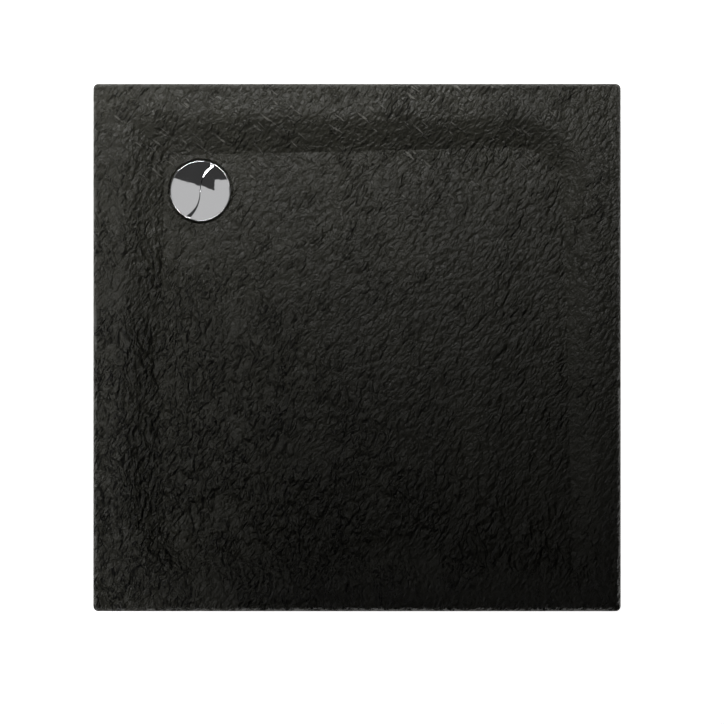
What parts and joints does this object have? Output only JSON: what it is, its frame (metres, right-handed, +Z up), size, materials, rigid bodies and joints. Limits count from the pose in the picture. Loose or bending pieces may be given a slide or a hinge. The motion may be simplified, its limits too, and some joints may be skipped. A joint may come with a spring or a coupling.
{
  "type": "shower tray",
  "caption": "Square shower tray with a slate-effect basin that falls to a corner waste, a lift-off chrome cover, a trap below and levelling feet.",
  "frame": {"origin": "on the floor under the middle of the tray", "axes": "+Z up, with the room's walls at -X and +Y and the waste in the corner between them"},
  "size_m": [1, 1, 0.17],
  "materials": {
    "slate_shell": "semi-matt, slate relief",
    "glass_fibre": "rough laminate",
    "chipboard": "raw chipboard",
    "seal_rubber": "matt",
    "grey_plastic": "smooth",
    "white_plastic": "smooth",
    "steel": "zinc plated",
    "chrome": "polished",
    "foot_plastic": "moulded"
  },
  "bodies": {
    "tray": {"tray_shell": "slate_shell", "glass_fibre_backing": "glass_fibre", "base_board": "chipboard", "flange_seal": "seal_rubber", "body_seal": "seal_rubber", "waste_flange": "grey_plastic", "trap_body": "white_plastic", "outlet_seal": "seal_rubber", "outlet_ring": "white_plastic", "outlet_nut": "white_plastic", "flange_screws": "steel", "foot_screws": "steel", "foot_socket_left": "foot_plastic", "foot_nut_left": "steel", "foot_socket_back": "foot_plastic", "foot_nut_back": "steel", "foot_socket_back_right": "foot_plastic", "foot_nut_back_right": "steel", "foot_socket_front_left": "foot_plastic", "foot_nut_front_left": "steel", "foot_socket_front_right": "foot_plastic", "foot_nut_front_right": "steel", "foot_socket_centre": "foot_plastic", "foot_nut_centre": "steel"},
    "dip_tube": {"waste_cup": "grey_plastic", "cup_ring": "seal_rubber"},
    "cover": {"waste_cover": "chrome"},
    "foot_pad_left": {"foot_pad_left": "foot_plastic"},
    "foot_rod_left": {"foot_rod_left": "steel"},
    "foot_pad_back": {"foot_pad_back": "foot_plastic"},
    "foot_rod_back": {"foot_rod_back": "steel"},
    "foot_pad_back_right": {"foot_pad_back_right": "foot_plastic"},
    "foot_rod_back_right": {"foot_rod_back_right": "steel"},
    "foot_pad_front_left": {"foot_pad_front_left": "foot_plastic"},
    "foot_rod_front_left": {"foot_rod_front_left": "steel"},
    "foot_pad_front_right": {"foot_pad_front_right": "foot_plastic"},
    "foot_rod_front_right": {"foot_rod_front_right": "steel"},
    "foot_pad_centre": {"foot_pad_centre": "foot_plastic"},
    "foot_rod_centre": {"foot_rod_centre": "steel"}
  },
  "joints": [
    {"name": "dip_tube_lift", "type": "slide", "parent": "tray", "child": "dip_tube", "axis": [0, 0, 1], "range_m": [0, 0.15]},
    {"name": "cover_lift", "type": "slide", "parent": "dip_tube", "child": "cover", "axis": [0, 0, 1], "range_m": [0, 0.06]},
    {"name": "foot_left_height", "type": "slide", "parent": "tray", "child": "foot_pad_left", "axis": [0, 0, -1], "range_m": [0, 0.02]},
    {"name": "foot_left_turn", "type": "hinge", "parent": "foot_pad_left", "child": "foot_rod_left", "pos_m": [-0.3, 0.12, 0.05], "axis": [0, 0, -1], "range_deg": [0, 4140]},
    {"name": "foot_back_height", "type": "slide", "parent": "tray", "child": "foot_pad_back", "axis": [0, 0, -1], "range_m": [0, 0.02]},
    {"name": "foot_back_turn", "type": "hinge", "parent": "foot_pad_back", "child": "foot_rod_back", "pos_m": [-0.12, 0.3, 0.05], "axis": [0, 0, -1], "range_deg": [0, 4140]},
    {"name": "foot_back_right_height", "type": "slide", "parent": "tray", "child": "foot_pad_back_right", "axis": [0, 0, -1], "range_m": [0, 0.02]},
    {"name": "foot_back_right_turn", "type": "hinge", "parent": "foot_pad_back_right", "child": "foot_rod_back_right", "pos_m": [0.3, 0.3, 0.05], "axis": [0, 0, -1], "range_deg": [0, 4140]},
    {"name": "foot_front_left_height", "type": "slide", "parent": "tray", "child": "foot_pad_front_left", "axis": [0, 0, -1], "range_m": [0, 0.02]},
    {"name": "foot_front_left_turn", "type": "hinge", "parent": "foot_pad_front_left", "child": "foot_rod_front_left", "pos_m": [-0.3, -0.3, 0.05], "axis": [0, 0, -1], "range_deg": [0, 4140]},
    {"name": "foot_front_right_height", "type": "slide", "parent": "tray", "child": "foot_pad_front_right", "axis": [0, 0, -1], "range_m": [0, 0.02]},
    {"name": "foot_front_right_turn", "type": "hinge", "parent": "foot_pad_front_right", "child": "foot_rod_front_right", "pos_m": [0.3, -0.3, 0.05], "axis": [0, 0, -1], "range_deg": [0, 4140]},
    {"name": "foot_centre_height", "type": "slide", "parent": "tray", "child": "foot_pad_centre", "axis": [0, 0, -1], "range_m": [0, 0.02]},
    {"name": "foot_centre_turn", "type": "hinge", "parent": "foot_pad_centre", "child": "foot_rod_centre", "pos_m": [0, 0, 0.05], "axis": [0, 0, -1], "range_deg": [0, 4140]}
  ],
  "couplings": [
    {"joint": "foot_left_turn", "follows": "foot_left_height", "rad_per_m": 3590.4},
    {"joint": "foot_back_turn", "follows": "foot_back_height", "rad_per_m": 3590.4},
    {"joint": "foot_back_right_turn", "follows": "foot_back_right_height", "rad_per_m": 3590.4},
    {"joint": "foot_front_left_turn", "follows": "foot_front_left_height", "rad_per_m": 3590.4},
    {"joint": "foot_front_right_turn", "follows": "foot_front_right_height", "rad_per_m": 3590.4},
    {"joint": "foot_centre_turn", "follows": "foot_centre_height", "rad_per_m": 3590.4}
  ]
}
